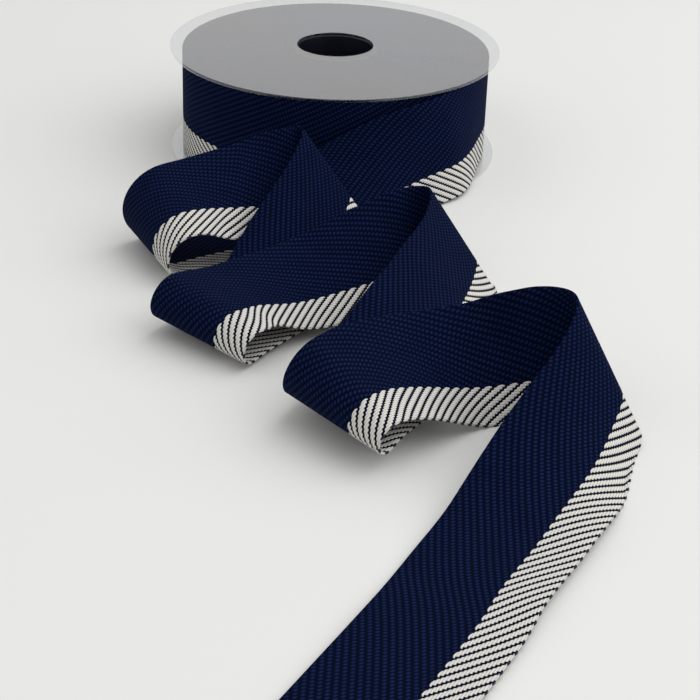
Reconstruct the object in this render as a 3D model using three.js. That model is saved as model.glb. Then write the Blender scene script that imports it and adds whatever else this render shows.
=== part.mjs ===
// A reel of navy canvas tape with a white striped border, lying flat, its loose end run out in
// ribbon-candy folds. Millimetres, +Z up, +Y away from the viewer, the surface it lies on at Z = 0.
// While it is built the reel's axis is the Z axis. At the end the group is moved so that the middle
// of its base is the origin.
import * as THREE from "three";

// Tape
const TAPE_WIDTH = 40;
const TAPE_THICK = 1.1;

// Reel: two clear flanges on a hub tube
const FLANGE_RADIUS = 65;
const FLANGE_THICK = 1.1;
const RIM_SOFTENING = 0.25;
const BORE_RADIUS = 15;
const HUB_RADIUS = 17;
const CLEARANCE = 0.3;
const TAPE_LOW = FLANGE_THICK + CLEARANCE;
const TAPE_HIGH = TAPE_LOW + TAPE_WIDTH;
const UPPER_FLANGE_LOW = TAPE_HIGH + CLEARANCE;

// Winding: one turn's growth in radius, and the middle of the tape where the loose piece starts
const TURN_PITCH = TAPE_THICK + CLEARANCE;
const LAST_TURN_RADIUS = 60.5;
const LOOSE_START = 38;
const LEAVES_REEL = -15;

// How finely the surfaces are cut into flat faces
const LATHE_SEGMENTS = 80;
const WINDING_SEGMENTS = 120;
const REEL_ARC_STEPS = 25;
const SPAN_STEPS = 40;
const FOLD_STEPS = 32;
const AIMING_ROUNDS = 8;
const PATH_STEP = 1;
const EASE = 2;
const STATION_EVERY = 3;
const STRIPS_ACROSS = 3;

// The loose end, from the reel to its cut end. Each row is a line across the tape, given by its navy
// edge and its white edge. A row with radii, one at each edge, is the axis that a fold turns round:
// "left" folds lie on the surface, and "right" ones stand up as crests. A row with no radii is a line
// that the tape runs through.
const LOOSE_END = [
  { name: "leaving", navy: [44.5, -45.5, 41.2], white: [51, -49.5, 1.4] },
  { name: "leaning", navy: [31.4, -57.2, 37.7], white: [35.8, -63.3, 0.7] },
  { name: "ramp", navy: [-4.8, -67.8, 20.5], white: [1.3, -97.5, 0.6] },
  { name: "under fold 1", navy: [-39.8, -79, 0.6], white: [-23.9, -116.9, 0.7] },
  {
    name: "fold 1",
    navy: [-59.2, -96.7, 14.9],
    white: [-42.2, -139.8, 9.3],
    radii: [15, 8.6],
    side: "left",
  },
  { name: "over fold 1", navy: [-32.3, -89.6, 32.7], white: [-33.5, -125.5, 14.7] },
  {
    name: "crest 1",
    navy: [-10, -90, 37.4],
    white: [11.2, -95.5, 8.2],
    radii: [2.6, 3.1],
    side: "right",
  },
  { name: "under fold 2", navy: [-29.7, -143.3, 7.3], white: [-8.4, -166.3, 3.3] },
  {
    name: "fold 2",
    navy: [-51.5, -166.4, 12.4],
    white: [-15.8, -197.1, 7.3],
    radii: [8, 5.7],
    side: "left",
  },
  { name: "over fold 2", navy: [-34.6, -155.9, 15.7], white: [-13.6, -185.1, 12] },
  { name: "under band 3", navy: [-15.4, -134.6, 17.7], white: [2.6, -173.1, 2.9] },
  { name: "climb", navy: [14.8, -124.6, 26.8], white: [32.9, -145.3, 1.9] },
  {
    name: "crest 2",
    navy: [32, -124.2, 27.9],
    white: [49.2, -130.8, 0.7],
    radii: [5.7, 7.6],
    side: "right",
  },
  { name: "drop", navy: [28.3, -159.6, 25.1], white: [47.7, -176.3, 2.5] },
  { name: "over band 2", navy: [15.6, -175.7, 24.3], white: [40.4, -214.6, 1.6] },
  {
    name: "fold 3",
    navy: [-0.9, -223.1, 16.3],
    white: [22.9, -253.8, 11.5],
    radii: [10, 5.4],
    side: "left",
  },
  { name: "over fold 3", navy: [4.7, -210.4, 29.7], white: [35.4, -248.6, 10.2] },
  { name: "slope", navy: [43, -197.3, 25.1], white: [51.5, -225, 1.2] },
  {
    name: "crest 3",
    navy: [67.7, -217.9, 29.3],
    white: [82.5, -227.4, 4.6],
    radii: [11.2, 10.4],
    side: "right",
  },
  { name: "landing", navy: [37.2, -271.5, 5.6], white: [76.5, -294.7, 3] },
  { name: "settling", navy: [25.9, -298.3, 1.1], white: [61.5, -316.7, 3.1] },
  { name: "resting", navy: [17.8, -317.5, 2], white: [54, -332.5, 2] },
  { name: "cut end", navy: [-7, -362.5, 0.8], white: [28.8, -380.5, 0.8] },
];

const CANVAS = new THREE.MeshStandardMaterial({ color: 0x14192e, roughness: 0.9, metalness: 0 });
const CLEAR_PLASTIC = new THREE.MeshStandardMaterial({
  color: 0xe6eaee,
  roughness: 0.12,
  metalness: 0,
  transparent: true,
  opacity: 0.35,
});
const HUB_PLASTIC = new THREE.MeshStandardMaterial({ color: 0x20242e, roughness: 0.35, metalness: 0 });

// Vectors
const vector = ([x, y, z]) => new THREE.Vector3(x, y, z);
const between = (a, b, share = 0.5) => new THREE.Vector3().lerpVectors(a, b, share);
const direction = (from, to) => new THREE.Vector3().subVectors(to, from).normalize();
const blend = (...terms) =>
  terms.reduce((sum, [part, amount]) => sum.addScaledVector(part, amount), new THREE.Vector3());

// A point on the outermost turn, whose radius grows towards the loose end
function onReel(azimuth, height) {
  const radius = LAST_TURN_RADIUS + (TURN_PITCH * (LOOSE_START - azimuth)) / 360;
  const turn = THREE.MathUtils.degToRad(azimuth);
  return new THREE.Vector3(radius * Math.cos(turn), radius * Math.sin(turn), height);
}

// One row of the loose end: a line across the tape, or a fold round one. Angles round a fold are
// measured from the middle of its turn, and a lean is the sine of the tape's slant along the axis.
class Crossing {
  constructor({ navy, white, radii: [navyRadius, whiteRadius] = [0, 0], side }) {
    this.navy = vector(navy);
    this.white = vector(white);
    this.middle = between(this.navy, this.white);
    this.across = direction(this.navy, this.white);
    this.navyRadius = navyRadius;
    this.whiteRadius = whiteRadius;
    this.radius = (navyRadius + whiteRadius) / 2;
    this.isFold = side !== undefined;
    this.isLeft = side === "left";
    this.entry = this.isFold ? -Math.PI / 2 : 0;
    this.exit = -this.entry;
  }

  // Turns the fold so that its hollow side faces both neighbours
  face(before, after) {
    const hollow = direction(this.middle, before).add(direction(this.middle, after));
    hollow.addScaledVector(this.across, -hollow.dot(this.across));
    this.outward = hollow.normalize().negate();
    this.travel = new THREE.Vector3().crossVectors(this.across, this.outward);
    if (this.isLeft) this.travel.negate();
  }

  // Middle of the tape at an angle round the fold
  middleAt(angle) {
    if (!this.isFold) return this.middle;
    return blend(
      [this.middle, 1],
      [this.outward, this.radius * Math.cos(angle)],
      [this.travel, this.radius * Math.sin(angle)],
    );
  }

  // Angles at which straight tape meets the fold from its two neighbours
  aim(before, after) {
    const arriving = direction(before.middleAt(before.exit), this.middleAt(this.entry));
    const leaving = direction(this.middleAt(this.exit), after.middleAt(after.entry));
    this.entry = Math.atan2(-arriving.dot(this.outward), arriving.dot(this.travel));
    this.exit = Math.atan2(-leaving.dot(this.outward), leaving.dot(this.travel));
    const leanIn = arriving.dot(this.across);
    const leanOut = leaving.dot(this.across);
    this.lean = (leanIn + leanOut) / 2;
    this.leanGrowth = this.isLeft ? (leanOut - leanIn) / (this.exit - this.entry) : 0;
  }

  // Both edges of the tape at an angle round the fold
  edgesAt(angle) {
    if (!this.isFold) return { navy: this.navy, white: this.white };
    const radial = blend([this.outward, Math.cos(angle)], [this.travel, Math.sin(angle)]);
    const lean = this.lean + (this.leanGrowth * angle) / 2;
    const slide = (this.radius * angle * lean) / Math.sqrt(1 - lean * lean);
    return {
      navy: blend([this.navy, 1], [radial, this.navyRadius], [this.across, slide]),
      white: blend([this.white, 1], [radial, this.whiteRadius], [this.across, slide]),
    };
  }

  // Direction in which the tape runs at an angle round the fold
  headingAt(angle) {
    const lean = this.lean + this.leanGrowth * angle;
    const upright = Math.sqrt(1 - lean * lean);
    return blend(
      [this.outward, -upright * Math.sin(angle)],
      [this.travel, upright * Math.cos(angle)],
      [this.across, lean],
    );
  }
}

// The rows as crossings, each fold faced and aimed at its neighbours
function crossings() {
  const list = LOOSE_END.map((row) => new Crossing(row));
  const reelMiddle = between(onReel(LEAVES_REEL, TAPE_HIGH), onReel(LEAVES_REEL, TAPE_LOW));
  const reel = { middle: reelMiddle, exit: 0, middleAt: () => reelMiddle };
  const neighbour = (index) => (index < 0 ? reel : list[index]);
  const folds = list.map((_, index) => index).filter((index) => list[index].isFold);
  for (const index of folds) list[index].face(neighbour(index - 1).middle, neighbour(index + 1).middle);
  for (let round = 0; round < AIMING_ROUNDS; round += 1)
    for (const index of folds) list[index].aim(neighbour(index - 1), neighbour(index + 1));
  return list;
}

// A smooth span between two points with a heading at each
function* span(from, fromHeading, to, toHeading) {
  const reach = from.distanceTo(to);
  for (let step = 1; step <= SPAN_STEPS; step += 1) {
    const t = step / SPAN_STEPS;
    yield blend(
      [from, 2 * t ** 3 - 3 * t ** 2 + 1],
      [fromHeading, reach * (t ** 3 - 2 * t ** 2 + t)],
      [to, 3 * t ** 2 - 2 * t ** 3],
      [toHeading, reach * (t ** 3 - t ** 2)],
    );
  }
}

// Both edges of the loose end as lists of matching points
function tapeEdges() {
  const navy = [];
  const white = [];
  for (let step = 0; step <= REEL_ARC_STEPS; step += 1) {
    const azimuth = THREE.MathUtils.lerp(LOOSE_START, LEAVES_REEL, step / REEL_ARC_STEPS);
    navy.push(onReel(azimuth, TAPE_HIGH));
    white.push(onReel(azimuth, TAPE_LOW));
  }
  const leavingTurn = THREE.MathUtils.degToRad(LEAVES_REEL);
  const heading = new THREE.Vector3(Math.sin(leavingTurn), -Math.cos(leavingTurn), 0);
  let last = { navy: navy.at(-1), white: white.at(-1), navyHeading: heading, whiteHeading: heading };
  const list = crossings();
  list.forEach((crossing, index) => {
    const entry = crossing.edgesAt(crossing.entry);
    const exit = crossing.edgesAt(crossing.exit);
    const next = list[index + 1];
    const onward = next
      ? next.edgesAt(next.entry)
      : { navy: blend([exit.navy, 2], [last.navy, -1]), white: blend([exit.white, 2], [last.white, -1]) };
    const headings = (angle) =>
      crossing.isFold
        ? { navy: crossing.headingAt(angle), white: crossing.headingAt(angle) }
        : { navy: direction(last.navy, onward.navy), white: direction(last.white, onward.white) };
    const arriving = headings(crossing.entry);
    const leaving = headings(crossing.exit);
    navy.push(...span(last.navy, last.navyHeading, entry.navy, arriving.navy));
    white.push(...span(last.white, last.whiteHeading, entry.white, arriving.white));
    for (let step = 1; crossing.isFold && step <= FOLD_STEPS; step += 1) {
      const angle = THREE.MathUtils.lerp(crossing.entry, crossing.exit, step / FOLD_STEPS);
      const around = crossing.edgesAt(angle);
      navy.push(around.navy);
      white.push(around.white);
    }
    last = { navy: exit.navy, white: exit.white, navyHeading: leaving.navy, whiteHeading: leaving.white };
  });
  return { navy, white };
}

// The same edges at even steps along the tape's middle
function evenEdges({ navy, white }) {
  const travelled = [0];
  for (let index = 1; index < navy.length; index += 1) {
    const step = between(navy[index], white[index]).distanceTo(between(navy[index - 1], white[index - 1]));
    travelled.push(travelled.at(-1) + step);
  }
  const count = Math.round(travelled.at(-1) / PATH_STEP);
  const even = { navy: [], white: [] };
  let from = 0;
  for (let station = 0; station <= count; station += 1) {
    const place = (travelled.at(-1) * station) / count;
    while (from < travelled.length - 2 && travelled[from + 1] < place) from += 1;
    const share = (place - travelled[from]) / (travelled[from + 1] - travelled[from]);
    even.navy.push(between(navy[from], navy[from + 1], share));
    even.white.push(between(white[from], white[from + 1], share));
  }
  return even;
}

// A line of points eased by a bell-shaped average, mirrored through its end points
function eased(points) {
  const reach = 3 * EASE;
  const last = points.length - 1;
  const at = (index) => {
    if (index < 0) return blend([points[0], 2], [points[-index], -1]);
    if (index > last) return blend([points[last], 2], [points[2 * last - index], -1]);
    return points[index];
  };
  return points.map((_, index) => {
    const sum = new THREE.Vector3();
    let weights = 0;
    for (let offset = -reach; offset <= reach; offset += 1) {
      const weight = Math.exp(-(offset * offset) / (2 * EASE * EASE));
      sum.addScaledVector(at(index + offset), weight);
      weights += weight;
    }
    return sum.divideScalar(weights);
  });
}

// Stations along the loose end: the tape's two edges at its true width, and its outer side's normal
function tapeStations() {
  const even = evenEdges(tapeEdges());
  const navy = eased(even.navy);
  const white = eased(even.white);
  const middles = navy.map((point, index) => between(point, white[index]));
  const last = middles.length - 1;
  const stations = middles.map((middle, index) => {
    const heading = direction(middles[Math.max(index - 1, 0)], middles[Math.min(index + 1, last)]);
    const across = direction(navy[index], white[index]);
    const lean = heading.dot(across);
    const half = TAPE_WIDTH / 2 / Math.sqrt(1 - lean * lean);
    const normal = new THREE.Vector3().crossVectors(heading, across).normalize();
    return { middle, across, half, normal };
  });
  return stations.filter((_, index) => index % STATION_EVERY === 0 || index === stations.length - 1);
}

// The loose end as one closed sheet of the tape's thickness
function looseEndGeometry() {
  const stations = tapeStations();
  const columns = STRIPS_ACROSS + 1;
  const corners = [];
  const half = TAPE_THICK / 2;
  for (const { middle, across, half: reach, normal } of stations)
    for (const height of [half, -half])
      for (let column = 0; column < columns; column += 1) {
        const point = blend([middle, 1], [across, reach * ((2 * column) / STRIPS_ACROSS - 1)]);
        point.z = Math.max(point.z, half);
        corners.push(...point.addScaledVector(normal, height));
      }
  const corner = (station, isInner, column) => (station * 2 + isInner) * columns + column;
  const faces = [];
  const quad = (a, b, c, d) => faces.push(a, b, c, a, c, d);
  const end = stations.length - 1;
  for (let s = 0; s < end; s += 1) {
    for (let c = 0; c < STRIPS_ACROSS; c += 1) {
      quad(corner(s, 0, c), corner(s + 1, 0, c), corner(s + 1, 0, c + 1), corner(s, 0, c + 1));
      quad(corner(s, 1, c), corner(s, 1, c + 1), corner(s + 1, 1, c + 1), corner(s + 1, 1, c));
    }
    const w = STRIPS_ACROSS;
    quad(corner(s, 0, 0), corner(s, 1, 0), corner(s + 1, 1, 0), corner(s + 1, 0, 0));
    quad(corner(s, 0, w), corner(s + 1, 0, w), corner(s + 1, 1, w), corner(s, 1, w));
  }
  for (let c = 0; c < STRIPS_ACROSS; c += 1) {
    quad(corner(0, 0, c), corner(0, 0, c + 1), corner(0, 1, c + 1), corner(0, 1, c));
    quad(corner(end, 0, c), corner(end, 1, c), corner(end, 1, c + 1), corner(end, 0, c + 1));
  }
  const geometry = new THREE.BufferGeometry();
  geometry.setAttribute("position", new THREE.Float32BufferAttribute(corners, 3));
  geometry.setIndex(faces);
  geometry.computeVertexNormals();
  return geometry;
}

// The wound tape: a ring whose outline is a spiral, stepped where the loose piece butts against it
function windingGeometry() {
  const startGap = CLEARANCE / LAST_TURN_RADIUS;
  const outerRadius = LAST_TURN_RADIUS + TAPE_THICK / 2;
  const outline = [];
  for (let step = 0; step <= WINDING_SEGMENTS; step += 1) {
    const share = step / WINDING_SEGMENTS;
    const turn = THREE.MathUtils.degToRad(LOOSE_START) + startGap + 2 * Math.PI * share;
    const radius = outerRadius - TURN_PITCH * share;
    outline.push(new THREE.Vector2(radius * Math.cos(turn), radius * Math.sin(turn)));
  }
  const shape = new THREE.Shape(outline);
  shape.holes.push(new THREE.Path().absarc(0, 0, HUB_RADIUS + CLEARANCE, 0, 2 * Math.PI, true));
  const curveSegments = LATHE_SEGMENTS;
  return new THREE.ExtrudeGeometry(shape, { depth: TAPE_WIDTH, bevelEnabled: false, curveSegments });
}

// A ring turned round the Z axis from a closed profile of radius and height
function turnedRing(profile) {
  const points = [...profile, profile[0]].map(([radius, height]) => new THREE.Vector2(radius, height));
  return new THREE.LatheGeometry(points, LATHE_SEGMENTS).rotateX(Math.PI / 2);
}

function flangeGeometry() {
  return turnedRing([
    [BORE_RADIUS, 0],
    [FLANGE_RADIUS - RIM_SOFTENING, 0],
    [FLANGE_RADIUS, RIM_SOFTENING],
    [FLANGE_RADIUS, FLANGE_THICK - RIM_SOFTENING],
    [FLANGE_RADIUS - RIM_SOFTENING, FLANGE_THICK],
    [BORE_RADIUS, FLANGE_THICK],
  ]);
}

function hubGeometry() {
  return turnedRing([
    [BORE_RADIUS, 0],
    [HUB_RADIUS, 0],
    [HUB_RADIUS, TAPE_WIDTH],
    [BORE_RADIUS, TAPE_WIDTH],
  ]);
}

function named(name, geometry, material, height = 0) {
  const mesh = new THREE.Mesh(geometry, material);
  mesh.name = name;
  mesh.position.z = height;
  return mesh;
}

const reel = new THREE.Group();
reel.add(named("flange_lower", flangeGeometry(), CLEAR_PLASTIC));
reel.add(named("hub", hubGeometry(), HUB_PLASTIC, TAPE_LOW));
reel.add(named("tape_roll", windingGeometry(), CANVAS, TAPE_LOW));
reel.add(named("flange_upper", flangeGeometry(), CLEAR_PLASTIC, UPPER_FLANGE_LOW));
reel.add(named("tape_loose", looseEndGeometry(), CANVAS));

// The middle of the base goes to the origin
const base = new THREE.Box3().setFromObject(reel).getCenter(new THREE.Vector3());
reel.position.set(-base.x, -base.y, 0);

export default new THREE.Group().add(reel);
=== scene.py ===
"""A reel of navy canvas tape with a white striped border, lying flat, its loose end run out in folds.

The tape is one long strip. Its place on the strip is given by two lengths in millimetres: `along`, which
is 0 where the loose end starts on the reel and grows towards the cut end, and `over`, which is 0 at the
navy edge and 40 at the white edge. Shapes are worked out in millimetres round the reel's axis, and
moved to the model's frame, in metres, when their mesh is made.
"""

import math

import bpy
import numpy as np
from mathutils import Matrix, Vector


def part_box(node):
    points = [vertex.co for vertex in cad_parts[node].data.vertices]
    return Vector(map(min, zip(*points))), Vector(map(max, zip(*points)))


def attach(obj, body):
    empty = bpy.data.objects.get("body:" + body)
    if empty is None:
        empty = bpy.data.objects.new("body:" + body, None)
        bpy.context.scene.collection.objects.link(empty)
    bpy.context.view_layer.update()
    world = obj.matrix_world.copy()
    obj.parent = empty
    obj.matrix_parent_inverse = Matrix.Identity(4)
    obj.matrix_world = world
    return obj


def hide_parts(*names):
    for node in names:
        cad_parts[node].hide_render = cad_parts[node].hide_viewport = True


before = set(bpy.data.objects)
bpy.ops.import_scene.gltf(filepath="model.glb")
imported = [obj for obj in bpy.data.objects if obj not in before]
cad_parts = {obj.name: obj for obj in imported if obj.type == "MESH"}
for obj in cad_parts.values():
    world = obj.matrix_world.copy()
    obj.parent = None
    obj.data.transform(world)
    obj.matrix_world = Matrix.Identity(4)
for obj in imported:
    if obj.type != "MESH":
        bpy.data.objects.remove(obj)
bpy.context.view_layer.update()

MM = 0.001
flange_low, flange_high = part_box("flange_lower")
REEL_AXIS = Vector((*((flange_low + flange_high) / 2).xy, 0.0))

# Tape
TAPE_WIDTH = 40.0
TAPE_THICK = 1.1
GROUND_HALF_THICK = 0.48
VALLEY_HALF_THICK = 0.36
WOUND_HALF_THICK = 0.5
SELVEDGE_RADIUS = 0.5
SELVEDGE_TURNS = (54.0, 0.0, -54.0)
TAPE_LOW = 1.4
TAPE_HIGH = TAPE_LOW + TAPE_WIDTH

# Winding
TURN_PITCH = 1.4
LAST_TURN_RADIUS = 60.5
FIRST_TURN_RADIUS = 17.9
LOOSE_START = 38.0
LEAVES_REEL = -15.0
BUTT_GAP = 0.3

# Reel
FLANGE_RADIUS = 65.0
FLANGE_THICK = 1.1
UPPER_FLANGE_LOW = 41.7
BORE_RADIUS = 15.0
HUB_RADIUS = 17.0

# Weave of the border: white diagonal stripes, each a stack of short floats in rows along the tape
STRIPE_PITCH = 4.05
STRIPE_DROP = 2.726
ROWS_PER_STRIPE = 4
ROW_PITCH = STRIPE_DROP / ROWS_PER_STRIPE
ROW_SHIFT = STRIPE_PITCH / ROWS_PER_STRIPE
STRIPE_SHARE = 0.65
RIDGE_SHARE = STRIPE_SHARE + 0.06
STRIPE_SHIFT = 0.1
BORDER_START = 27.465
FLOAT_LEAN = 0.35

# How round the end of a stripe is, and how sharply the stripes and the border begin
TIP_ROUND = 0.5
TIP_EDGE = 4.0
SIDE_EDGE = 9.0
BORDER_EDGE = 50.0

# Weave of the navy ground: round dots where two sets of slanting lines cross, one set along the
# stripes and twice as close, one set slanting the other way
LINES_PER_STRIPE = 2
PARTING_DROP = 2.1

# The waves of the ground plus the rise, over the range, go from 0 in the gaps to 1 on the dots
DOT_RISE = 0.9
DOT_RANGE = 3.6

# How finely the cloth is cut
STEP_ALONG = STRIPE_PITCH / 5
STEP_OVER = STRIPE_DROP / 5
BORDER_COLUMNS = 23
GROUND_COLUMNS = 10
WOUND_STEP = 3.0
PATH_STEP = 0.25
SPAN_STEPS = 120
FOLD_STEPS = 96
AIMING_ROUNDS = 8

# Lengths of tape over which kinks in its route, and in its slant, are eased away
EASE = 2.0
WEAVE_EASE = 9.0

# The loose end's route, as in the model: each row is a line across the tape from its navy edge to its
# white edge, in millimetres from the reel's axis. A row with radii is the axis that a fold turns round.
LOOSE_END = {
    "leaving": {"navy": (44.5, -45.5, 41.2), "white": (51, -49.5, 1.4)},
    "leaning": {"navy": (31.4, -57.2, 37.7), "white": (35.8, -63.3, 0.7)},
    "ramp": {"navy": (-4.8, -67.8, 20.5), "white": (1.3, -97.5, 0.6)},
    "under fold 1": {"navy": (-39.8, -79, 0.6), "white": (-23.9, -116.9, 0.7)},
    "fold 1": {
        "navy": (-59.2, -96.7, 14.9),
        "white": (-42.2, -139.8, 9.3),
        "radii": (15, 8.6),
        "side": "left",
    },
    "over fold 1": {"navy": (-32.3, -89.6, 32.7), "white": (-33.5, -125.5, 14.7)},
    "crest 1": {
        "navy": (-10, -90, 37.4),
        "white": (11.2, -95.5, 8.2),
        "radii": (2.6, 3.1),
        "side": "right",
    },
    "under fold 2": {"navy": (-29.7, -143.3, 7.3), "white": (-8.4, -166.3, 3.3)},
    "fold 2": {
        "navy": (-51.5, -166.4, 12.4),
        "white": (-15.8, -197.1, 7.3),
        "radii": (8, 5.7),
        "side": "left",
    },
    "over fold 2": {"navy": (-34.6, -155.9, 15.7), "white": (-13.6, -185.1, 12)},
    "under band 3": {"navy": (-15.4, -134.6, 17.7), "white": (2.6, -173.1, 2.9)},
    "climb": {"navy": (14.8, -124.6, 26.8), "white": (32.9, -145.3, 1.9)},
    "crest 2": {
        "navy": (32, -124.2, 27.9),
        "white": (49.2, -130.8, 0.7),
        "radii": (5.7, 7.6),
        "side": "right",
    },
    "drop": {"navy": (28.3, -159.6, 25.1), "white": (47.7, -176.3, 2.5)},
    "over band 2": {"navy": (15.6, -175.7, 24.3), "white": (40.4, -214.6, 1.6)},
    "fold 3": {
        "navy": (-0.9, -223.1, 16.3),
        "white": (22.9, -253.8, 11.5),
        "radii": (10, 5.4),
        "side": "left",
    },
    "over fold 3": {"navy": (4.7, -210.4, 29.7), "white": (35.4, -248.6, 10.2)},
    "slope": {"navy": (43, -197.3, 25.1), "white": (51.5, -225, 1.2)},
    "crest 3": {
        "navy": (67.7, -217.9, 29.3),
        "white": (82.5, -227.4, 4.6),
        "radii": (11.2, 10.4),
        "side": "right",
    },
    "landing": {"navy": (37.2, -271.5, 5.6), "white": (76.5, -294.7, 3)},
    "settling": {"navy": (25.9, -298.3, 1.1), "white": (61.5, -316.7, 3.1)},
    "resting": {"navy": (17.8, -317.5, 2), "white": (54, -332.5, 2)},
    "cut end": {"navy": (-7, -362.5, 0.8), "white": (28.8, -380.5, 0.8)},
}

# How much more the plastic mirrors than bare glass would
CLEAR_GLOSS = 2.45

# Colours, as the light that each yarn or plastic gives back
WHITE_YARN = (0.76, 0.75, 0.71)
# Painted shade: the colour of the white yarn in the crevices between its floats, mixed in towards each
# float's ends and sides
WHITE_YARN_IN_PAINTED_SHADE = (0.50, 0.48, 0.44)
BORDER_NAVY = (0.0022, 0.0036, 0.0165)
# Navy of the ground, partly the yarn's own colour: in the gaps with painted shade, on the dots with a painted
# highlight of the lit yarn
NAVY_GAP_WITH_PAINTED_SHADE = (0.0010, 0.0027, 0.0122)
NAVY_DOT_WITH_PAINTED_HIGHLIGHT = (0.0080, 0.0162, 0.0690)
LOOP_NAVY = (0.0075, 0.0130, 0.0500)
NAVY_SHEEN = (0.30, 0.42, 0.95)
HUB_DARK = (0.002, 0.002, 0.006)
HUB_SCUFF = (0.005, 0.006, 0.014)
CLEAR_TINT = (0.93, 0.935, 0.94)
COOL_GLOSS = (0.80, 0.84, 0.90)
WARM_GLOSS = (0.93, 0.90, 0.88)
FLOOR_PALE = (0.80, 0.80, 0.785)
FLOOR_SHADE = tuple(0.97 * part for part in FLOOR_PALE)
BACKDROP = (1.0, 1.0, 0.985)
BACKDROP_STRENGTH = 0.40


# Camera, in millimetres from the reel's axis and in degrees
CAMERA_PLACE = Vector((10.01, -682.76, 262.7))
CAMERA_PITCH = 27.55
CAMERA_ROLL = 1.98
CAMERA_LENS = 91.8


def make_camera():
    """A long lens south of the reel, pitched down, with a slight roll; it looks along +Y."""
    lens = bpy.data.cameras.new("camera")
    lens.lens = CAMERA_LENS
    lens.sensor_width = 36.0
    lens.clip_end = 20.0
    camera = bpy.data.objects.new("camera", lens)
    pitch = Matrix.Rotation(math.radians(90.0 - CAMERA_PITCH), 4, "X")
    roll = Matrix.Rotation(math.radians(CAMERA_ROLL), 4, "Z")
    camera.matrix_world = Matrix.Translation(REEL_AXIS + CAMERA_PLACE * MM) @ pitch @ roll
    bpy.context.scene.collection.objects.link(camera)
    bpy.context.scene.camera = camera


# Meshes


def make_piece(name, points, faces, finish, over_and_along=None, sharp=45.0):
    """One mesh object at the origin, from points in millimetres round the reel's axis."""
    mesh = bpy.data.meshes.new(name)
    placed = np.asarray(points).reshape(-1, 3) * MM + np.array(REEL_AXIS)
    mesh.from_pydata(placed, [], faces)
    mesh.materials.append(finish)
    if over_and_along is not None:
        corners = np.empty(len(mesh.loops), dtype=np.int32)
        mesh.loops.foreach_get("vertex_index", corners)
        layer = mesh.uv_layers.new(name="weave")
        layer.uv.foreach_set("vector", np.asarray(over_and_along).reshape(-1, 2)[corners].ravel())
    mesh.shade_smooth()
    mesh.set_sharp_from_angle(angle=math.radians(sharp))
    mesh.validate()
    piece = bpy.data.objects.new(name, mesh)
    bpy.context.scene.collection.objects.link(piece)
    return piece


def net(rows, columns, wrap_rows=False, wrap_columns=True, falling=None):
    """Triangles of a grid of points whose normal is (along rows) x (along columns). Each cell is cut from
    its first corner, or, where `falling` is true for its column, from its second one."""
    row, column = np.meshgrid(
        np.arange(rows - (not wrap_rows)), np.arange(columns - (not wrap_columns)), indexing="ij"
    )
    next_row, next_column = (row + 1) % rows, (column + 1) % columns
    a = row * columns + column
    b = next_row * columns + column
    c = next_row * columns + next_column
    d = row * columns + next_column
    cut = np.zeros(columns, dtype=bool) if falling is None else falling
    cut = cut[column]
    first = np.where(cut[..., None], np.stack([a, b, d], -1), np.stack([a, b, c], -1))
    second = np.where(cut[..., None], np.stack([b, c, d], -1), np.stack([a, c, d], -1))
    return np.concatenate([first.reshape(-1, 3), second.reshape(-1, 3)]).tolist()


def strip_piece(name, middle, normal, sideways, along, over, finish, thickness):
    """The tape as one closed skin. middle and normal are (stations, columns, 3) on its middle surface,
    sideways is the (stations, 3) direction in the cloth from the navy to the white edge, and thickness
    is (stations, columns), the height of either face above the middle surface. The section is a loop:
    the outer face to the white edge, three points round it, the inner face back, three points round."""
    stations, columns = middle.shape[:2]
    outer = middle + normal * thickness[..., None]
    inner = (middle - normal * thickness[..., None])[:, ::-1]
    turn = np.radians(SELVEDGE_TURNS)[:, None]

    def selvedge(column, away):
        centre = middle[:, column, None]
        round_off = away * np.cos(turn) * sideways[:, None] + np.sin(turn) * normal[:, column, None]
        return centre + SELVEDGE_RADIUS * round_off

    white_edge = selvedge(-1, 1.0)
    navy_edge = selvedge(0, -1.0)[:, ::-1]
    ring = np.concatenate([outer, white_edge, inner, navy_edge], axis=1)
    white_over = np.full(3, over[-1]) + SELVEDGE_RADIUS * np.cos(turn[:, 0])
    navy_over = np.full(3, over[0]) - SELVEDGE_RADIUS * np.cos(turn[:, 0])
    ring_over = np.concatenate([over, white_over, over[::-1], navy_over])
    places = np.stack(np.broadcast_arrays(along[:, None], ring_over[None, :]), axis=-1)
    size = ring.shape[1]
    falling = np.arange(size) < columns
    faces = net(stations, size, falling=falling)
    faces.append(list(range(size)))
    faces.append(list(range((stations - 1) * size, stations * size))[::-1])
    return make_piece(name, ring, faces, finish, places)


def turned_piece(name, profile, segments, finish, low=0.0, sharp=45.0):
    """A ring turned round the reel's axis: point (r, z) of the closed profile goes to
    (r cos t, r sin t, z + low) for t once round."""
    turn = np.linspace(0.0, 2.0 * np.pi, segments, endpoint=False)[:, None]
    radius, height = np.asarray(profile).T
    grid = np.stack(
        np.broadcast_arrays(radius * np.cos(turn), radius * np.sin(turn), height + low), axis=-1
    )
    faces = net(segments, len(radius), wrap_rows=True)
    return make_piece(name, grid, faces, finish, sharp=sharp)


# The loose end's route


def unit(vectors):
    return vectors / np.linalg.norm(vectors, axis=-1, keepdims=True)


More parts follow.
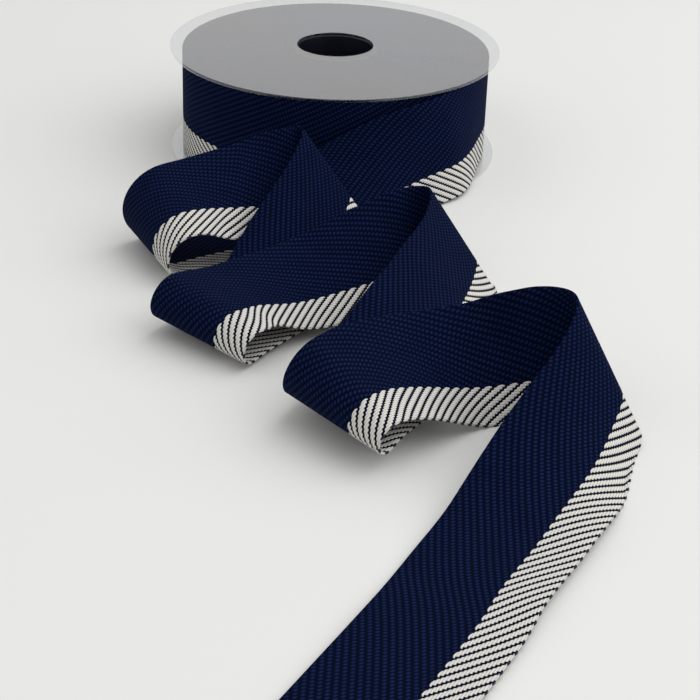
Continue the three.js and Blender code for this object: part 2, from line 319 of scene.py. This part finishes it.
class Crossing:
    """One row of the loose end: a line across the tape, or a fold round one. Angles round a fold are
    measured from the middle of its turn, and a lean is the sine of the tape's slant along the axis."""

    def __init__(self, navy, white, radii=(0.0, 0.0), side=None):
        self.navy, self.white = np.array(navy, float), np.array(white, float)
        self.middle = (self.navy + self.white) / 2
        self.across = unit(self.white - self.navy)
        self.navy_radius, self.white_radius = radii
        self.radius = sum(radii) / 2
        self.is_fold = side is not None
        self.is_left = side == "left"
        self.exit = np.pi / 2 if self.is_fold else 0.0
        self.entry = -self.exit

    def face(self, before, after):
        """Turns the fold so that its hollow side faces both neighbours."""
        hollow = unit(before - self.middle) + unit(after - self.middle)
        hollow -= self.across * (hollow @ self.across)
        self.outward = -unit(hollow)
        self.travel = np.cross(self.across, self.outward) * (-1 if self.is_left else 1)

    def radial(self, angle):
        """The direction out of the fold at each angle."""
        angle = np.asarray(angle)[..., None]
        return np.cos(angle) * self.outward + np.sin(angle) * self.travel

    def middle_at(self, angle):
        return self.middle + self.radius * self.radial(angle) if self.is_fold else self.middle

    def aim(self, before, after):
        """Finds the angles at which straight tape meets the fold from its two neighbours."""
        arriving = unit(self.middle_at(self.entry) - before.middle_at(before.exit))
        leaving = unit(after.middle_at(after.entry) - self.middle_at(self.exit))
        self.entry = math.atan2(-(arriving @ self.outward), arriving @ self.travel)
        self.exit = math.atan2(-(leaving @ self.outward), leaving @ self.travel)
        lean_in, lean_out = arriving @ self.across, leaving @ self.across
        self.lean = (lean_in + lean_out) / 2
        self.lean_growth = (lean_out - lean_in) / (self.exit - self.entry) if self.is_left else 0.0

    def edges_at(self, angle):
        """Navy and white edge at each angle, sliding along the axis as the tape leans."""
        if not self.is_fold:
            return self.navy, self.white
        radial = self.radial(angle)
        lean = self.lean + self.lean_growth * angle / 2
        slide = np.asarray(self.radius * angle * lean / np.sqrt(1 - lean**2))[..., None] * self.across
        navy = self.navy + self.navy_radius * radial + slide
        return navy, self.white + self.white_radius * radial + slide

    def heading_at(self, angle):
        """The direction in which the tape runs at one angle."""
        lean = self.lean + self.lean_growth * angle
        around = -math.sin(angle) * self.outward + math.cos(angle) * self.travel
        return math.sqrt(1 - lean**2) * around + lean * self.across


class ReelEnd:
    """The last point of the tape that lies on the reel, as a neighbour of the first row."""

    exit = 0.0

    def __init__(self, middle):
        self.middle = middle

    def middle_at(self, _angle):
        return self.middle


def on_reel(azimuth, height):
    """Points of the outermost turn, whose radius grows by one pitch a turn towards the loose end."""
    radius = LAST_TURN_RADIUS + TURN_PITCH * (LOOSE_START - azimuth) / 360.0
    turn = np.radians(azimuth)
    return np.stack(
        np.broadcast_arrays(radius * np.cos(turn), radius * np.sin(turn), height), axis=-1
    )


def span(start, start_heading, end, end_heading):
    """A cubic Hermite span whose end slopes are as long as its chord."""
    t = np.linspace(0.0, 1.0, SPAN_STEPS + 1)[1:, None]
    reach = np.linalg.norm(end - start)
    return (
        (2 * t**3 - 3 * t**2 + 1) * start
        + reach * (t**3 - 2 * t**2 + t) * start_heading
        + (3 * t**2 - 2 * t**3) * end
        + reach * (t**3 - t**2) * end_heading
    )


def route_crossings():
    """The rows as crossings, each fold faced and aimed at its neighbours."""
    rows = [Crossing(**row) for row in LOOSE_END.values()]
    reel_middle = on_reel(LEAVES_REEL, (TAPE_LOW + TAPE_HIGH) / 2)
    chain = [ReelEnd(reel_middle), *rows]
    folds = [place for place, row in enumerate(chain) if place and row.is_fold]
    for place in folds:
        chain[place].face(chain[place - 1].middle, chain[place + 1].middle)
    for _ in range(AIMING_ROUNDS):
        for place in folds:
            chain[place].aim(chain[place - 1], chain[place + 1])
    return rows


def route_edges():
    """Both edges of the loose end as matching points: reel, then a span and an arc for each row."""
    azimuth = np.linspace(LOOSE_START, LEAVES_REEL, SPAN_STEPS)
    navy, white = [on_reel(azimuth, TAPE_HIGH)], [on_reel(azimuth, TAPE_LOW)]
    leaving = math.radians(LEAVES_REEL)
    heading = np.array((math.sin(leaving), -math.cos(leaving), 0.0))
    last = (navy[0][-1], white[0][-1])
    last_heading = (heading, heading)
    rows = route_crossings()
    for place, row in enumerate(rows):
        entry, leave = row.edges_at(row.entry), row.edges_at(row.exit)
        if place + 1 < len(rows):
            onward = rows[place + 1].edges_at(rows[place + 1].entry)
        else:
            onward = tuple(2 * here - before for here, before in zip(leave, last))
        if row.is_fold:
            arriving, parting = [row.heading_at(row.entry)] * 2, [row.heading_at(row.exit)] * 2
        else:
            arriving = parting = [unit(ahead - before) for ahead, before in zip(onward, last)]
        navy.append(span(last[0], last_heading[0], entry[0], arriving[0]))
        white.append(span(last[1], last_heading[1], entry[1], arriving[1]))
        if row.is_fold:
            around = row.edges_at(np.linspace(row.entry, row.exit, FOLD_STEPS + 1)[1:])
            navy.append(around[0])
            white.append(around[1])
        last, last_heading = leave, parting
    return np.concatenate(navy), np.concatenate(white)


def eased(points, ease=EASE):
    """A bell-shaped average along a line of points, mirrored through its end points."""
    spread = ease / PATH_STEP
    reach = int(3 * spread)
    offsets = np.arange(-reach, reach + 1)
    bell = np.exp(-(offsets**2) / (2 * spread**2))
    bell /= bell.sum()
    before = 2 * points[0] - points[reach:0:-1]
    after = 2 * points[-1] - points[-2 : -reach - 2 : -1]
    longer = np.concatenate([before, points, after])
    return np.stack([np.convolve(column, bell, "valid") for column in longer.T], axis=1)


def widely_eased(numbers):
    """Numbers along the route, eased so that the weave doesn't kink where the tape's slant changes."""
    return eased(numbers[:, None], WEAVE_EASE)[:, 0]


def sampled(places, known, values):
    """Rows of values at new places, by straight interpolation."""
    return np.stack([np.interp(places, known, column) for column in values.T], axis=1)


class Route:
    """The loose end's middle surface: point = middle + across * half * (over - 20) / 20, where half
    lengthens the ruling as it leans so that the tape keeps its true width."""

    def __init__(self):
        navy, white = route_edges()
        run = np.linalg.norm(np.diff((navy + white) / 2, axis=0), axis=1)
        travelled = np.concatenate([[0.0], np.cumsum(run)])
        count = round(travelled[-1] / PATH_STEP)
        places = np.linspace(0.0, travelled[-1], count + 1)
        navy = eased(sampled(places, travelled, navy))
        white = eased(sampled(places, travelled, white))
        middle = (navy + white) / 2
        beyond = middle[-1] + unit(middle[-1] - middle[-2]) * TAPE_WIDTH / 4
        middle = np.concatenate([middle, [beyond]])
        self.across = unit(np.concatenate([white - navy, (white - navy)[-1:]]))
        steps = np.linalg.norm(np.diff(middle, axis=0), axis=1)
        self.along = np.concatenate([[0.0], np.cumsum(steps)])
        heading = unit(np.gradient(middle, self.along, axis=0))
        lean = (heading * self.across).sum(axis=1)
        self.middle = middle
        self.slide = widely_eased(TAPE_WIDTH / 2 * lean / np.sqrt(1 - lean**2))
        self.half = TAPE_WIDTH / 2 / np.sqrt(1 - lean**2)
        self.normal = unit(np.cross(heading, self.across))
        self.sideways = unit(np.cross(self.normal, heading))
        self.length = self.along[-2]

    def column(self, along, over):
        """Points and normals of one column of the cloth, at the given true lengths along the tape."""
        share = (over - TAPE_WIDTH / 2) / (TAPE_WIDTH / 2)
        reached = np.maximum.accumulate(self.along + self.slide * share)
        surface = self.middle + self.across * (self.half * share)[:, None]
        points = sampled(along, reached, surface)
        points[:, 2] = np.maximum(points[:, 2], TAPE_THICK / 2)
        return points, unit(sampled(along, reached, self.normal))


# The cloth


def stripe_place(along, over):
    """Where a point lies between two white stripes: a whole number is the middle of a gap, and a half
    the middle of a stripe. along / pitch + (over - border start) / drop + shift."""
    return along / STRIPE_PITCH + (over - BORDER_START) / STRIPE_DROP + STRIPE_SHIFT


def face_height(along, over):
    """Half the cloth's thickness: flat navy ground, and in the border a round ridge for each stripe,
    sqrt(1 - (2 x / ridge share)^2) of its height at a distance of x pitches from the stripe's middle."""
    place = stripe_place(along[:, None], over[None, :])
    distance = np.abs(place % 1.0 - 0.5) * 2.0 / RIDGE_SHARE
    ridge = np.sqrt(np.clip(1.0 - distance**2, 0.0, 1.0))
    into_border = np.clip((over - BORDER_START) / STEP_OVER, 0.0, 1.0)[None, :]
    border = VALLEY_HALF_THICK + (TAPE_THICK / 2 - VALLEY_HALF_THICK) * ridge
    return GROUND_HALF_THICK + into_border * (border - GROUND_HALF_THICK)


def cloth_columns():
    """Places across the tape: a few on the navy ground, and five to a stripe on the border."""
    ground = np.linspace(SELVEDGE_RADIUS, BORDER_START, GROUND_COLUMNS, endpoint=False)
    return np.concatenate([ground, BORDER_START + STEP_OVER * np.arange(BORDER_COLUMNS)])


def make_loose_tape(route, finish):
    over = cloth_columns()
    along = np.append(np.arange(0.0, route.length, STEP_ALONG), route.length)
    columns = [route.column(along, place) for place in over]
    middle = np.stack([points for points, _ in columns], axis=1)
    normal = np.stack([normals for _, normals in columns], axis=1)
    sideways = unit(sampled(along, route.along, route.sideways))
    thickness = face_height(along, over)
    return strip_piece("loose_tape", middle, normal, sideways, along, over, finish, thickness)


def make_selvedge_loops(route, finish):
    """A small loop of navy yarn on the white edge at the end of each gap between stripes. Its path is
    an arch, centre + heading * a cos t + sideways * b sin t, with a round section carried along it."""
    loop_half, loop_reach, yarn_radius, path_points, sides = 0.95, 0.55, 0.27, 7, 6
    at_edge = stripe_place(0.0, TAPE_WIDTH)
    first = (math.ceil(at_edge) - at_edge) * STRIPE_PITCH
    along = np.arange(first + STRIPE_PITCH, route.length - 1.0, STRIPE_PITCH)
    edge, normal = route.column(along, TAPE_WIDTH - SELVEDGE_RADIUS)
    ahead, _ = route.column(along + 0.5, TAPE_WIDTH - SELVEDGE_RADIUS)
    heading = unit(ahead - edge)
    sideways = unit(np.cross(normal, heading))
    t = np.linspace(0.0, np.pi, path_points)[None, :, None, None]
    centre = edge[:, None, None]
    heading, sideways, normal = (part[:, None, None] for part in (heading, sideways, normal))
    path = centre + heading * loop_half * np.cos(t) + sideways * loop_reach * np.sin(t)
    out = unit(heading * loop_reach * np.cos(t) + sideways * loop_half * np.sin(t))
    turn = np.linspace(0.0, 2 * np.pi, sides, endpoint=False)[None, None, :, None]
    rings = path + yarn_radius * (out * np.cos(turn) + normal * np.sin(turn))
    loops = len(along)
    one = np.array(net(path_points, sides), dtype=int)
    size = path_points * sides
    faces = (one[None] + size * np.arange(loops)[:, None, None]).reshape(-1, 3).tolist()
    starts = size * np.arange(loops)[:, None]
    faces += (starts + np.arange(sides)).tolist()
    faces += (starts + np.arange(size - sides, size)[::-1]).tolist()
    rings[..., 2] = np.maximum(rings[..., 2], 0.02)
    return make_piece("selvedge_loops", rings, faces, finish, sharp=80.0)


def make_wound_tape(finish):
    """The wound part as one spiral strip. A length L back from the loose end's start is an angle A of
    turning with L = R A - p A^2 / (4 pi), R the last turn's radius and p the pitch."""
    turns = (LAST_TURN_RADIUS - FIRST_TURN_RADIUS) / TURN_PITCH
    rate = TURN_PITCH / (4 * np.pi)
    full_turn = 2 * np.pi * turns
    length = LAST_TURN_RADIUS * full_turn - rate * full_turn**2
    back = np.linspace(length, BUTT_GAP, round(length / WOUND_STEP))
    angle = (LAST_TURN_RADIUS - np.sqrt(LAST_TURN_RADIUS**2 - 4 * rate * back)) / (2 * rate)
    azimuth = LOOSE_START + np.degrees(angle)
    over = np.array((SELVEDGE_RADIUS, TAPE_WIDTH / 2, TAPE_WIDTH - SELVEDGE_RADIUS))
    middle = on_reel(azimuth[:, None], TAPE_HIGH - over[None, :])
    outward = unit(middle * (1.0, 1.0, 0.0))
    sideways = np.broadcast_to((0.0, 0.0, -1.0), (len(back), 3))
    thickness = np.full(middle.shape[:2], WOUND_HALF_THICK)
    return strip_piece("wound_tape", middle, outward, sideways, -back, over, finish, thickness)


# The reel


def arc(centre_radius, centre_height, size, start, end, steps=4):
    """Points of a round corner of a turned profile, from one angle to another, in degrees."""
    turn = np.radians(np.linspace(start, end, steps + 1))
    return np.stack([centre_radius + size * np.cos(turn), centre_height + size * np.sin(turn)], axis=1)


def ring_profile(inner, outer, thick, soft):
    """The closed section of a flat ring with round corners and a support line beside each."""
    near = 2 * soft
    return np.concatenate(
        [
            arc(inner + soft, soft, soft, 180, 270),
            [(inner + near, 0.0), (outer - near, 0.0)],
            arc(outer - soft, soft, soft, 270, 360),
            arc(outer - soft, thick - soft, soft, 0, 90),
            [(outer - near, thick), (inner + near, thick)],
            arc(inner + soft, thick - soft, soft, 90, 180),
        ]
    )


def make_reel(clear, dark):
    profile = ring_profile(BORE_RADIUS, FLANGE_RADIUS, FLANGE_THICK, 0.25)
    upper = turned_piece("upper_disc", profile, 240, clear, low=UPPER_FLANGE_LOW)
    lower = turned_piece("lower_disc", profile, 240, clear)
    tube_profile = ring_profile(BORE_RADIUS, HUB_RADIUS, TAPE_WIDTH, 0.2)
    tube = turned_piece("hub_tube", tube_profile, 96, dark, low=TAPE_LOW)
    return upper, lower, tube


# Finishes


class Value:
    """A socket in a sum: each operator adds the Math node that it stands for."""

    def __init__(self, finish, socket):
        self.finish = finish
        self.socket = socket

    def maths(self, operation, *others):
        node = self.finish.tree.nodes.new("ShaderNodeMath")
        node.operation = operation
        for place, term in enumerate((self, *others)):
            self.finish.feed(node.inputs[place], term)
        return Value(self.finish, node.outputs[0])

    def __add__(self, other):
        return self.maths("ADD", other)

    def __sub__(self, other):
        return self.maths("SUBTRACT", other)

    def __mul__(self, other):
        return self.maths("MULTIPLY", other)

    def __truediv__(self, other):
        return self.maths("DIVIDE", other)

    def __pow__(self, other):
        return self.maths("POWER", other)

    def __abs__(self):
        return self.maths("ABSOLUTE")

    def __rsub__(self, other):
        return self * -1.0 + other

    def __rtruediv__(self, other):
        return self ** -1.0 * other

    __radd__ = __add__
    __rmul__ = __mul__

    def floor(self):
        return self.maths("FLOOR")

    def fraction(self):
        return self.maths("FRACT")

    def wave(self):
        return (self * (2.0 * math.pi)).maths("COSINE")

    def at_least(self, other):
        return self.maths("MAXIMUM", other)

    def at_most(self, other):
        return self.maths("MINIMUM", other)

    def clipped(self):
        return self.at_least(0.0).at_most(1.0)


class Finish:
    """A material being made. add() makes any node: its settings first, then its sockets."""

    def __init__(self, name):
        self.material = bpy.data.materials.new(name)
        self.material.use_nodes = True
        self.tree = self.material.node_tree
        self.tree.nodes.clear()

    def feed(self, socket, value):
        if isinstance(value, Value):
            self.tree.links.new(value.socket, socket)
        elif isinstance(value, tuple) and len(value) == 3 and socket.type == "RGBA":
            socket.default_value = (*value, 1.0)
        else:
            socket.default_value = value

    def add(self, kind, settings=None, sockets=None, output=0):
        """Makes one node and returns an output of it. A socket is named by its identifier or name."""
        node = self.tree.nodes.new(kind)
        for setting, value in (settings or {}).items():
            setattr(node, setting, value)
        for name, value in (sockets or {}).items():
            found = [s for s in node.inputs if s.identifier == name] or [node.inputs[name]]
            self.feed(found[0], value)
        if isinstance(output, str):
            found = [s for s in node.outputs if s.identifier == output] or [node.outputs[output]]
            return Value(self, found[0])
        return Value(self, node.outputs[output]) if len(node.outputs) else None

    def mixed(self, share, low, high):
        """A colour between two colours."""
        sockets = {"Factor_Float": share, "A_Color": low, "B_Color": high}
        return self.add("ShaderNodeMix", {"data_type": "RGBA"}, sockets, "Result_Color")

    def noise(self, place, scale, detail=2.0):
        sockets = {"Vector": place, "Scale": scale, "Detail": detail}
        return self.add("ShaderNodeTexNoise", None, sockets, "Fac")

    def bump(self, height, distance, strength=1.0):
        sockets = {"Height": height, "Distance": distance, "Strength": strength}
        return self.add("ShaderNodeBump", None, sockets)

    def done(self, surface):
        self.add("ShaderNodeOutputMaterial", None, {"Surface": surface})
        return self.material


def canvas_finish():
    """The tape's weave, worked out from the lengths along and over it, with painted shade between the white
    floats and partly painted highlights on the navy dots.
    """
    finish = Finish("canvas tape")
    weave = finish.add("ShaderNodeUVMap", {"uv_map": "weave"})
    along = finish.add("ShaderNodeSeparateXYZ", None, {"Vector": weave}, "X")
    over = finish.add("ShaderNodeSeparateXYZ", None, {"Vector": weave}, "Y")

    # Border: rows along the tape, each with a white float at every stripe
    row = (over - BORDER_START) / ROW_PITCH
    row_number = row.floor()
    over_row = row - row_number - 0.5
    place = (along + ROW_SHIFT * (row_number + 0.5 + FLOAT_LEAN * over_row)) / STRIPE_PITCH
    from_middle = abs((place + STRIPE_SHIFT).fraction() - 0.5) * (2.0 / STRIPE_SHARE)
    tip = (over - BORDER_START) - TIP_ROUND * from_middle * from_middle
    sides = ((1.0 - from_middle) * SIDE_EDGE + 0.5).clipped()
    white = sides * (tip * TIP_EDGE + 0.5).clipped()
    float_round = (1.0 - over_row * over_row * 4.0).clipped()
    float_swell = (1.0 - from_middle * from_middle).clipped() ** 0.5
    white_height = white * (0.35 + 0.65 * float_round * float_swell)

    # Ground: dots where two sets of slanting lines cross: cos u + 1.3 cos w + 0.8 cos (u + w), with u
    # across the lines along the stripes and w across the others
    along_stripes = LINES_PER_STRIPE * (along / STRIPE_PITCH + over / STRIPE_DROP)
    parting = along / STRIPE_PITCH - over / PARTING_DROP
    waves = along_stripes.wave() + 1.3 * parting.wave()
    waves = waves + 0.8 * (along_stripes + parting).wave()
    dot = ((waves + DOT_RISE) / DOT_RANGE).clipped()

    # Uneven yarn, and painted shade on the white floats towards the crevices between them
    patches = finish.noise(weave, 0.12)
    fibres = finish.noise(weave, 3.0)
    in_border = ((over - BORDER_START) * BORDER_EDGE).clipped()
    # Painted shade: the white floats darken towards the edges of their rows and the sides of their stripes,
    # where the crevices between them lie; the fibres add random tone
    painted_light_and_fibres = float_round * (0.5 + 0.5 * float_swell) * (0.75 + 0.5 * fibres)
    white_colour = finish.mixed(painted_light_and_fibres.clipped(), WHITE_YARN_IN_PAINTED_SHADE, WHITE_YARN)
    # The navy ground's colour: lighter on the dots, partly a painted highlight on the lit yarn, and darker in
    # the gaps, partly painted shade; patches of random tone across it
    navy_colour = finish.mixed((dot * (0.6 + 0.8 * patches)).clipped(), NAVY_GAP_WITH_PAINTED_SHADE, NAVY_DOT_WITH_PAINTED_HIGHLIGHT)
    border_colour = finish.mixed(white, BORDER_NAVY, white_colour)
    colour = finish.mixed(in_border, navy_colour, border_colour)
    height = in_border * white_height + (1.0 - in_border) * (0.7 * dot) + 0.05 * fibres
    surface = finish.add(
        "ShaderNodeBsdfPrincipled",
        None,
        {
            "Base Color": colour,
            "Roughness": 0.85,
            "Specular IOR Level": 0.02,
            "Sheen Weight": 0.015,
            "Sheen Roughness": 0.45,
            "Sheen Tint": NAVY_SHEEN,
            "Normal": finish.bump(height, 0.25 * MM, 0.8),
        },
    )
    return finish.done(surface)


def loop_finish():
    """Navy yarn of the selvedge loops."""
    finish = Finish("navy yarn")
    place = finish.add("ShaderNodeTexCoord", None, None, "Object")
    twist = finish.noise(place, 2500.0)
    colour = finish.mixed(twist, BORDER_NAVY, LOOP_NAVY)
    surface = finish.add(
        "ShaderNodeBsdfPrincipled",
        None,
        {"Base Color": colour, "Roughness": 0.8, "Normal": finish.bump(twist, 0.1 * MM, 0.5)},
    )
    return finish.done(surface)


def clear_finish():
    """Clear plastic: seen through where it is faced, and a mirror of the studio at a slant. Only the
    side that light comes in by mirrors, as the side it leaves by would mirror all of it at a slant."""
    finish = Finish("clear plastic")
    place = finish.add("ShaderNodeTexCoord", None, None, "Object")
    haze = finish.noise(place, 14.0, 3.0)
    tint = finish.mixed(haze, COOL_GLOSS, WARM_GLOSS)
    glossy = finish.add(
        "ShaderNodeBsdfPrincipled",
        None,
        {"Base Color": tint, "Metallic": 1.0, "Roughness": 0.16 + 0.10 * haze},
    )
    clear = finish.add("ShaderNodeBsdfTransparent", None, {"Color": CLEAR_TINT})
    fresnel = finish.add("ShaderNodeFresnel", None, {"IOR": 1.5})
    inside = finish.add("ShaderNodeNewGeometry", None, None, "Backfacing")
    share = (CLEAR_GLOSS * fresnel).clipped() * (1.0 - inside)
    return finish.done(finish.add("ShaderNodeMixShader", None, {0: share, 1: clear, 2: glossy}))


def hub_finish():
    """Dark smooth plastic of the hub tube, with faint scuffs."""
    finish = Finish("dark plastic")
    place = finish.add("ShaderNodeTexCoord", None, None, "Object")
    scuffs = finish.noise(place, 300.0, 4.0)
    surface = finish.add(
        "ShaderNodeBsdfPrincipled",
        None,
        {
            "Base Color": finish.mixed(scuffs, HUB_DARK, HUB_SCUFF),
            "Roughness": 0.35 + 0.2 * scuffs,
            "Specular IOR Level": 0.2,
            "Normal": finish.bump(scuffs, 0.05 * MM, 0.3),
        },
    )
    return finish.done(surface)


def floor_finish():
    """Pale matt studio paper."""
    finish = Finish("pale paper")
    place = finish.add("ShaderNodeTexCoord", None, None, "Object")
    cloud = finish.noise(place, 2.0)
    surface = finish.add(
        "ShaderNodeBsdfPrincipled",
        None,
        {
            "Base Color": finish.mixed(cloud, FLOOR_PALE, FLOOR_SHADE),
            "Roughness": 0.7,
            "Specular IOR Level": 0.2,
        },
    )
    return finish.done(surface)


# Studio


def make_floor():
    """A level sheet of paper, 8 m each way, at the height that the object stands on."""
    size = 4.0
    mesh = bpy.data.meshes.new("floor")
    corners = np.array(((-size, -size), (size, -size), (size, size), (-size, size)))
    mesh.from_pydata(np.column_stack([corners, np.zeros(4)]), [], [(0, 1, 2, 3)])
    mesh.materials.append(floor_finish())
    floor = bpy.data.objects.new("floor", mesh)
    bpy.context.scene.collection.objects.link(floor)


# Softboxes: where each stands, the point it faces, its width and height in metres, and its watts
LIGHTS = [
    {"name": "key", "place": (0.85, -0.1, 1.15), "aim": (0.0, -0.05, 0.0), "size": (2.2, 2.2), "power": 22.5},
    {"name": "fill", "place": (-1.0, -0.5, 0.9), "aim": (0.0, -0.05, 0.0), "size": (1.8, 1.8), "power": 4.5},
    {"name": "back", "place": (0.0, 1.7, 1.1), "aim": (0.0, 0.15, 0.0), "size": (2.6, 1.4), "power": 4.8},
]


def make_light(name, place, aim, size, power):
    """A softbox that faces a point. It doesn't show in the picture itself."""
    lamp = bpy.data.lights.new(name, "AREA")
    lamp.shape = "RECTANGLE"
    lamp.size, lamp.size_y = size
    lamp.energy = power
    light = bpy.data.objects.new(name, lamp)
    light.location = place
    light.rotation_euler = (Vector(aim) - Vector(place)).to_track_quat("-Z", "Y").to_euler()
    light.visible_camera = False
    bpy.context.scene.collection.objects.link(light)


def make_studio():
    scene = bpy.context.scene
    scene.view_settings.view_transform = "Standard"
    world = bpy.data.worlds.new("studio")
    world.use_nodes = True
    backdrop = world.node_tree.nodes["Background"]
    backdrop.inputs["Color"].default_value = (*BACKDROP, 1.0)
    backdrop.inputs["Strength"].default_value = BACKDROP_STRENGTH
    scene.world = world
    make_floor()
    for light in LIGHTS:
        make_light(**light)


# The object


def ride(piece, slot, *nodes):
    """Puts a piece in the model's frame, in the place of its nodes."""
    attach(piece, "root")
    if nodes:
        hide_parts(*nodes)


make_camera()
make_studio()
canvas = canvas_finish()
route = Route()
loose = make_loose_tape(route, canvas)
loops = make_selvedge_loops(route, loop_finish())
wound = make_wound_tape(canvas)
upper, lower, tube = make_reel(clear_finish(), hub_finish())

ride(loose, "canvas", "tape_loose")
ride(loops, "canvas")
ride(wound, "canvas", "tape_roll")
ride(upper, "clear_plastic", "flange_upper")
ride(lower, "clear_plastic", "flange_lower")
ride(tube, "hub_plastic", "hub")
